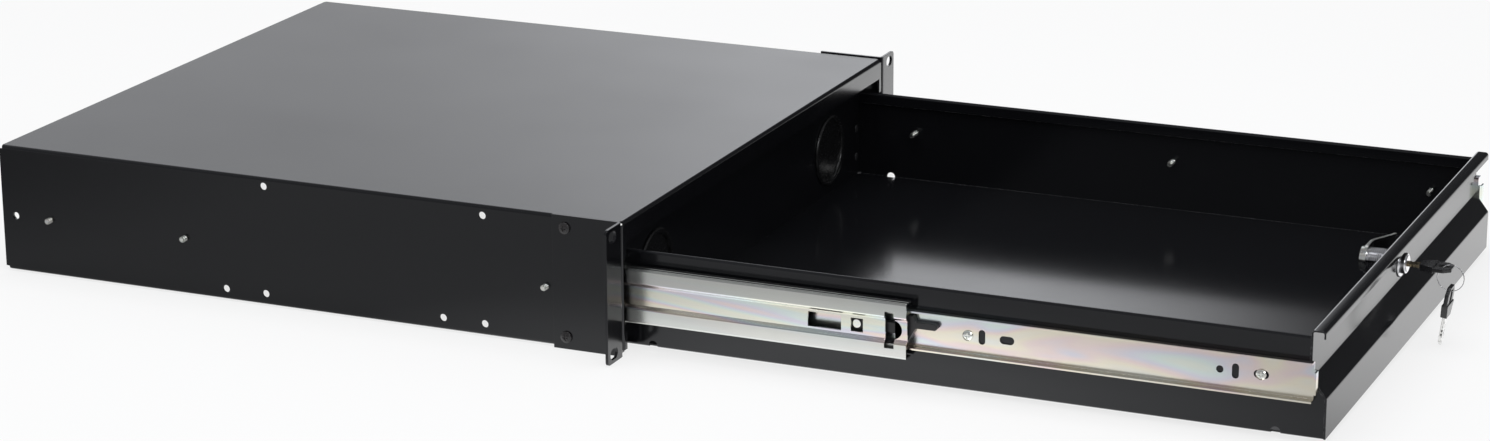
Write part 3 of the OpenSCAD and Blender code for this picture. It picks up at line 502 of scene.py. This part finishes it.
def rounded_piece(node, shape, width):
    """A piece from the shape, with its sharp edges rounded to the width."""
    sharp = [edge for edge in shape.edges
             if len(edge.link_faces) == 2 and edge.calc_face_angle(0) > SMOOTH_ANGLE]
    bmesh.ops.bevel(shape, geom=sharp, offset=width, offset_type="OFFSET", segments=EDGE_SEGMENTS,
                    profile=0.5, affect="EDGES", clamp_overlap=False)
    bmesh.ops.remove_doubles(shape, verts=shape.verts, dist=MERGE_DISTANCE)
    mesh = bpy.data.meshes.new(node + "_finished")
    shape.to_mesh(mesh)
    shape.free()
    smooth_by_angle(mesh)
    piece = new_piece(node + "_finished", mesh)
    weighted = piece.modifiers.new("even_normals", "WEIGHTED_NORMAL")
    weighted.keep_sharp = True
    bake_modifiers(piece)
    return piece


def finish_node(node, material, width):
    dress(rounded_piece(node, merged_copy(node), width), material, node)


def islands(shape):
    """The separate solids of a bmesh, each as a list of its vertices."""
    left, found = set(shape.verts), []
    while left:
        start = left.pop()
        group, front = [start], [start]
        while front:
            for edge in front.pop().link_edges:
                for vert in edge.verts:
                    if vert in left:
                        left.remove(vert)
                        group.append(vert)
                        front.append(vert)
        found.append(group)
    return found


def bounds_of(verts):
    """The middle, lowest and highest corners of the vertices."""
    low = Vector([min(v.co[i] for v in verts) for i in range(3)])
    high = Vector([max(v.co[i] for v in verts) for i in range(3)])
    return (low + high) / 2, low, high


# Geometry node helpers

def geometry_tree(name, inputs):
    """A geometry node tree with a geometry input and output, as (tree, input node, output node)."""
    tree = bpy.data.node_groups.new(name, "GeometryNodeTree")
    tree.interface.new_socket("Geometry", in_out="INPUT", socket_type="NodeSocketGeometry")
    for title, kind in inputs:
        tree.interface.new_socket(title, in_out="INPUT", socket_type="NodeSocket" + kind)
    tree.interface.new_socket("Material", in_out="INPUT", socket_type="NodeSocketMaterial")
    tree.interface.new_socket("Geometry", in_out="OUTPUT", socket_type="NodeSocketGeometry")
    return tree, add_node(tree, "NodeGroupInput", (-900, 0)), add_node(tree, "NodeGroupOutput", (900, 0))


def end_tree(tree, source, result, geometry):
    realize = add_node(tree, "GeometryNodeRealizeInstances")
    feed(tree, realize.inputs["Geometry"], geometry)
    smooth = add_node(tree, "GeometryNodeSetShadeSmooth")
    feed(tree, smooth.inputs["Geometry"], realize.outputs["Geometry"])
    material = add_node(tree, "GeometryNodeSetMaterial")
    feed(tree, material.inputs["Geometry"], smooth.outputs["Geometry"])
    feed(tree, material.inputs["Material"], source.outputs["Material"])
    feed(tree, result.inputs["Geometry"], material.outputs["Geometry"])


def make_thread_tree():
    """Screw threads: a coiled ridge of the given radius, pitch and depth at every point."""
    tree, source, result = geometry_tree("screw_threads", [
        ("Radius", "Float"), ("Pitch", "Float"), ("Depth", "Float"), ("Length", "Float"),
        ("Turn", "Rotation")])
    coil = add_node(tree, "GeometryNodeCurveSpiral")
    feed(tree, coil.inputs["Resolution"], COIL_STEPS)
    middle_radius = maths(tree, "SUBTRACT", source.outputs["Radius"], source.outputs["Depth"])
    feed(tree, coil.inputs["Start Radius"], middle_radius)
    feed(tree, coil.inputs["End Radius"], middle_radius)
    feed(tree, coil.inputs["Height"], source.outputs["Length"])
    turns = maths(tree, "DIVIDE", source.outputs["Length"], source.outputs["Pitch"])
    feed(tree, coil.inputs["Rotations"], turns)
    ridge = add_node(tree, "GeometryNodeCurvePrimitiveCircle")
    feed(tree, ridge.inputs["Resolution"], RIDGE_SIDES)
    feed(tree, ridge.inputs["Radius"], source.outputs["Depth"])
    sweep = add_node(tree, "GeometryNodeCurveToMesh")
    feed(tree, sweep.inputs["Curve"], coil.outputs["Curve"])
    feed(tree, sweep.inputs["Profile Curve"], ridge.outputs["Curve"])
    sweep.inputs["Fill Caps"].default_value = True
    copies = add_node(tree, "GeometryNodeInstanceOnPoints")
    feed(tree, copies.inputs["Points"], source.outputs["Geometry"])
    feed(tree, copies.inputs["Instance"], sweep.outputs["Mesh"])
    feed(tree, copies.inputs["Rotation"], source.outputs["Turn"])
    end_tree(tree, source, result, copies.outputs["Instances"])
    return tree


def make_ball_tree():
    """Rows of balls: one ball of the given radius at every point."""
    tree, source, result = geometry_tree("ball_rows", [("Radius", "Float")])
    ball = add_node(tree, "GeometryNodeMeshIcoSphere")
    feed(tree, ball.inputs["Radius"], source.outputs["Radius"])
    feed(tree, ball.inputs["Subdivisions"], BALL_DIVISIONS)
    copies = add_node(tree, "GeometryNodeInstanceOnPoints")
    feed(tree, copies.inputs["Points"], source.outputs["Geometry"])
    feed(tree, copies.inputs["Instance"], ball.outputs["Mesh"])
    end_tree(tree, source, result, copies.outputs["Instances"])
    return tree


THREAD_TREE = make_thread_tree()
BALL_TREE = make_ball_tree()


def grown_mesh(tree, points, **values):
    """The plain mesh that a geometry node tree grows on the points."""
    mesh = bpy.data.meshes.new("points")
    mesh.from_pydata([tuple(point) for point in points], [], [])
    carrier = new_piece("points", mesh)
    modifier = carrier.modifiers.new(tree.name, "NODES")
    modifier.node_group = tree
    titles = {item.name: item.identifier for item in tree.interface.items_tree if item.in_out == "INPUT"}
    for name, value in values.items():
        modifier[titles[name.replace("_", " ").title()]] = value
    grown = evaluated_mesh(carrier)
    bpy.data.objects.remove(carrier)
    return grown


def join_meshes(mesh, *others):
    """Adds the other meshes to the first one."""
    shape = bmesh.new()
    shape.from_mesh(mesh)
    for other in others:
        shape.from_mesh(other)
    shape.to_mesh(mesh)
    shape.free()


# Sheet metal, slides, moulded parts and trim: the CAD shapes with rounded edges and their finish

SHEET_NODES = {
    CASE_PAINT: ("case_shell", "left_ear", "right_ear", "lock_strike"),
    DRAWER_PAINT: ("drawer_tray", "back_wall", "front_panel"),
}
SLIDE_NODES = {
    OUTER_ZINC: ("left_outer_member", "right_outer_member"),
    MIDDLE_ZINC: ("left_middle_member", "right_middle_member"),
    INNER_ZINC: ("left_inner_member", "right_inner_member"),
    CAGE_STEEL: ("left_outer_cage", "right_outer_cage", "left_inner_cage", "right_inner_cage"),
}
SMALL_NODES = {
    BRIGHT_ZINC: ("ear_nuts", "left_lever_rivet", "right_lever_rivet", "lock_nut", "lock_cam", "cam_nut"),
    BLACK_ZINC: ("ear_screws",),
    RIVET_BLACK: ("back_rivets",),
    LOCK_CHROME: ("lock_plug",),
    KEY_BRASS: ("key_blade",),
    KEY_NICKEL: ("spare_key_blade",),
}
MOULDED_NODES = {
    RUBBER: ("left_bumper", "right_bumper", "left_grommet", "right_grommet"),
    LEVER_PLASTIC: ("left_release_lever", "right_release_lever"),
    BOW_PLASTIC: ("key_bow", "spare_key_bow"),
}
for nodes_by_finish, edge_width in ((SHEET_NODES, SHEET_EDGE), (SLIDE_NODES, SLIDE_EDGE),
                                    (SMALL_NODES, SMALL_EDGE), (MOULDED_NODES, MOULDED_EDGE)):
    for finish, nodes in nodes_by_finish.items():
        for node in nodes:
            finish_node(node, finish, edge_width)


# Screws of the slides: the heads keep their CAD shape, the shanks get threads

def threaded_screws(node, material, thread):
    """Screws along X that stand both ways: their shanks cut down, and threads wound round them."""
    diameter, pitch, depth = thread
    shape = merged_copy(node)
    starts = {1: [], -1: []}
    length = 0.0
    for solid in islands(shape):
        middle, low, high = bounds_of(solid)
        shank = [v for v in solid
                 if abs(math.hypot(v.co.y - middle.y, v.co.z - middle.z) - diameter / 2) < THREAD_TOLERANCE]
        inner, outer = min(v.co.x for v in shank), max(v.co.x for v in shank)
        head_first = abs(low.x - inner) > abs(high.x - outer)
        direction = 1 if head_first else -1
        length = outer - inner - pitch
        start = inner + pitch if head_first else outer - pitch
        starts[direction].append((start, middle.y, middle.z))
        for v in shank:
            scale = 1 - SCREW_CUT * depth / (diameter / 2)
            v.co.y = middle.y + (v.co.y - middle.y) * scale
            v.co.z = middle.z + (v.co.z - middle.z) * scale
    piece = rounded_piece(node, shape, SMALL_EDGE)
    threads = [grown_mesh(THREAD_TREE, points, radius=diameter / 2, pitch=pitch, depth=depth / 2,
                          length=length - pitch / 2, turn=Euler((0, direction * math.pi / 2, 0)),
                          material=material)
               for direction, points in starts.items() if points]
    join_meshes(piece.data, *threads)
    dress(piece, material, node)


threaded_screws("case_slide_screws", BRIGHT_ZINC, SLIDE_THREAD)
threaded_screws("drawer_slide_screws", BRIGHT_ZINC, DRAWER_THREAD)


# Lock barrel with its thread, cut down to the thread's root behind the panel

def lock_barrel():
    diameter, pitch, depth = BARREL_THREAD
    shape = merged_copy("lock_housing")
    middle, low, high = bounds_of(shape.verts)
    panel_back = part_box("lock_nut")[0].y
    barrel = [v for v in shape.verts
              if abs(math.hypot(v.co.x - middle.x, v.co.z - middle.z) - diameter / 2) < THREAD_TOLERANCE]
    for v in barrel:
        scale = 1 - BARREL_CUT * depth / (diameter / 2)
        v.co.x = middle.x + (v.co.x - middle.x) * scale
        v.co.z = middle.z + (v.co.z - middle.z) * scale
    piece = rounded_piece("lock_housing", shape, SMALL_EDGE)
    thread = grown_mesh(THREAD_TREE, [(middle.x, panel_back, middle.z)], radius=diameter / 2, pitch=pitch,
                        depth=depth / 2, length=high.y - panel_back - pitch / 2,
                        turn=Euler((-math.pi / 2, 0, 0)), material=LOCK_CHROME)
    join_meshes(piece.data, thread)
    dress(piece, LOCK_CHROME, "lock_housing")


lock_barrel()


# Balls in their cages

def ball_row(node, diameter):
    shape = merged_copy(node)
    points = [bounds_of(solid)[0] for solid in islands(shape)]
    shape.free()
    balls = grown_mesh(BALL_TREE, points, radius=diameter / 2, material=BALL_STEEL)
    dress(new_piece(node + "_finished", balls), BALL_STEEL, node)


for side in SIDES:
    ball_row(side + "_outer_balls", OUTER_BALL_D)
    ball_row(side + "_inner_balls", INNER_BALL_D)


# Key ring, wound from wire

def split_ring():
    low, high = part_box("key_ring")
    middle = (low + high) / 2
    wire = RING_WIRE_D / 2
    start = (middle.x - wire, middle.y, middle.z)
    ring = grown_mesh(THREAD_TREE, [start], radius=RING_D / 2 + wire, pitch=RING_WIRE_D, depth=wire,
                      length=2 * wire, turn=Euler((0, math.pi / 2, 0)), material=RING_STEEL)
    dress(new_piece("key_ring_finished", ring), RING_STEEL, "key_ring")


split_ring()


# Studio: a pale floor, soft lamps and a white surround

def level_around(tree, place, stretch, centre, levels):
    """Brightness by distance from the centre, in stretched coordinates, from a list of distance and level."""
    distance = add_node(tree, "ShaderNodeVectorMath", operation="DISTANCE")
    feed(tree, distance.inputs[0], stretched(tree, place, stretch))
    distance.inputs[1].default_value = centre
    reach, brightest = levels[-1][0], max(level for step, level in levels)
    steps = [(step / reach, (level / brightest,) * 3) for step, level in levels]
    scaled = maths(tree, "DIVIDE", distance.outputs["Value"], reach)
    return maths(tree, "MULTIPLY", colour_steps(tree, scaled, steps), brightest)


def ray_kinds(tree):
    """Masks of the camera's own rays, and of the rays that show in gloss or through glass."""
    rays = add_node(tree, "ShaderNodeLightPath")
    mirrored = maths(tree, "MAXIMUM", rays.outputs["Is Glossy Ray"], rays.outputs["Is Transmission Ray"])
    return rays.outputs["Is Camera Ray"], mirrored


def studio_floor():
    """The pale floor: it keeps the object's shadow, and its pools of glow show in reflections only."""
    mesh = bpy.data.meshes.new("floor")
    level = cad_box[0][2] - FLOOR_DROP
    corners = [(x * FLOOR_SIZE, y * FLOOR_SIZE, level) for x, y in ((-1, -1), (1, -1), (1, 1), (-1, 1))]
    mesh.from_pydata(corners, [], [(0, 1, 2, 3)])
    floor = new_piece("floor", mesh)
    material = bpy.data.materials.new("studio_floor")
    material.use_nodes = True
    tree = material.node_tree
    shader = tree.nodes["Principled BSDF"]
    shader.inputs["Base Color"].default_value = FLOOR_COLOUR
    shader.inputs["Roughness"].default_value = FLOOR_ROUGHNESS
    shader.inputs["Specular IOR Level"].default_value = 0.0
    place = add_node(tree, "ShaderNodeTexCoord").outputs["Object"]
    pool = level_around(tree, place, *SIDE_POOL)
    for other in (FRONT_POOL, RIGHT_POOL):
        pool = maths(tree, "MAXIMUM", pool, level_around(tree, place, *other))
    pool = maths(tree, "MULTIPLY", pool, level_around(tree, place, *FAR_SHADE))
    camera, mirrored = ray_kinds(tree)
    glow = add_node(tree, "ShaderNodeEmission")
    feed(tree, glow.inputs["Strength"], maths(tree, "MAXIMUM", camera,
                                              maths(tree, "MULTIPLY", mirrored, pool)))
    seen = maths(tree, "MAXIMUM", camera, mirrored)
    mixer = add_node(tree, "ShaderNodeMixShader")
    feed(tree, mixer.inputs["Fac"], maths(tree, "MULTIPLY", seen, FLOOR_GLOW_SHARE))
    feed(tree, mixer.inputs[1], shader.outputs["BSDF"])
    feed(tree, mixer.inputs[2], glow.outputs["Emission"])
    feed(tree, tree.nodes["Material Output"].inputs["Surface"], mixer.outputs["Shader"])
    set_finish(floor, material)


def soft_lamp(name, place, aim, size, radiance, mirrored):
    """A square lamp at the place, aimed at a point; mirrored says whether reflections show it."""
    lamp = bpy.data.lights.new(name, "AREA")
    lamp.shape = "RECTANGLE"
    lamp.size, lamp.size_y = size, size
    lamp.energy = radiance * math.pi * size * size
    holder = bpy.data.objects.new(name, lamp)
    holder.location = place
    holder.visible_glossy = mirrored
    direction = Vector(aim) - Vector(place)
    holder.rotation_euler = direction.to_track_quat("-Z", "Y").to_euler()
    bpy.context.scene.collection.objects.link(holder)


def studio_world():
    """White to the camera; a studio with one bright side to reflections; a plain level to the rest."""
    world = bpy.data.worlds.new("studio")
    bpy.context.scene.world = world
    world.use_nodes = True
    tree = world.node_tree
    background = tree.nodes["Background"]
    outward = add_node(tree, "ShaderNodeTexCoord").outputs["Generated"]
    direction = add_node(tree, "ShaderNodeSeparateXYZ")
    feed(tree, direction.inputs["Vector"], outward)
    turn = maths(tree, "ARCTAN2", direction.outputs["Y"], direction.outputs["X"])
    brightest = max(level for angle, level in STUDIO_LEVELS)
    steps = [((angle + 180) / 360, (level / brightest,) * 3) for angle, level in STUDIO_LEVELS]
    around = colour_steps(tree, remapped(tree, turn, -math.pi, math.pi, 0.0, 1.0), steps)
    level = maths(tree, "MULTIPLY", around, brightest)
    above = remapped(tree, direction.outputs["Z"], HIGH_START, HIGH_END, 0.0, 1.0)
    studio = maths(tree, "ADD", maths(tree, "MULTIPLY", level, maths(tree, "SUBTRACT", 1.0, above)),
                   maths(tree, "MULTIPLY", above, HIGH_LEVEL))
    band = colour_steps(tree, direction.outputs["Z"], [(z, (share,) * 3) for z, share in RIM_BAND])
    studio = maths(tree, "ADD", studio, maths(tree, "MULTIPLY", band, RIM_LEVEL))
    for towards in GLINT_DIRECTIONS:
        studio = maths(tree, "ADD", studio, level_around(tree, outward, (1, 1, 1), towards, GLINT_LEVELS))
    camera, mirrored = ray_kinds(tree)
    lit = maths(tree, "ADD", maths(tree, "MULTIPLY", mirrored, studio),
                maths(tree, "MULTIPLY", maths(tree, "SUBTRACT", 1.0, mirrored), AMBIENT_LEVEL))
    whole = maths(tree, "ADD", maths(tree, "MULTIPLY", maths(tree, "SUBTRACT", 1.0, camera), lit), camera)
    feed(tree, background.inputs["Color"], mixed_colour(tree, camera, SKY_TONE, WHITE))
    feed(tree, background.inputs["Strength"], whole)


studio_floor()
studio_world()
soft_lamp("overhead_lamp", (-0.2, 0.0, 1.8), (0, 0, 0), size=1.5, radiance=2.6, mirrored=False)
soft_lamp("front_lamp", (-1.6, -1.8, 1.3), (0, -0.1, 0), size=0.9, radiance=1.6, mirrored=True)


# Camera at the photograph's viewing angle

def place_camera():
    flat = math.cos(CAMERA_ELEVATION)
    back = Vector((math.sin(CAMERA_AZIMUTH) * flat, -math.cos(CAMERA_AZIMUTH) * flat,
                   math.sin(CAMERA_ELEVATION)))
    right = (-back).cross(Vector((0, 0, 1))).normalized()
    up = right.cross(-back)
    across = math.cos(CAMERA_ROLL) * right + math.sin(CAMERA_ROLL) * up
    upward = -math.sin(CAMERA_ROLL) * right + math.cos(CAMERA_ROLL) * up
    camera = bpy.data.cameras.new("camera")
    camera.sensor_width = SENSOR_MM
    camera.lens = FOCAL_PIXELS * SENSOR_MM / IMAGE_WIDTH_PIXELS
    holder = bpy.data.objects.new("camera", camera)
    holder.matrix_world = Matrix.Translation(CAMERA_TARGET + CAMERA_DISTANCE * back) @ Matrix(
        (across, upward, back)).transposed().to_4x4()
    bpy.context.scene.collection.objects.link(holder)
    bpy.context.scene.camera = holder


place_camera()
bpy.context.scene.view_settings.view_transform = "Standard"
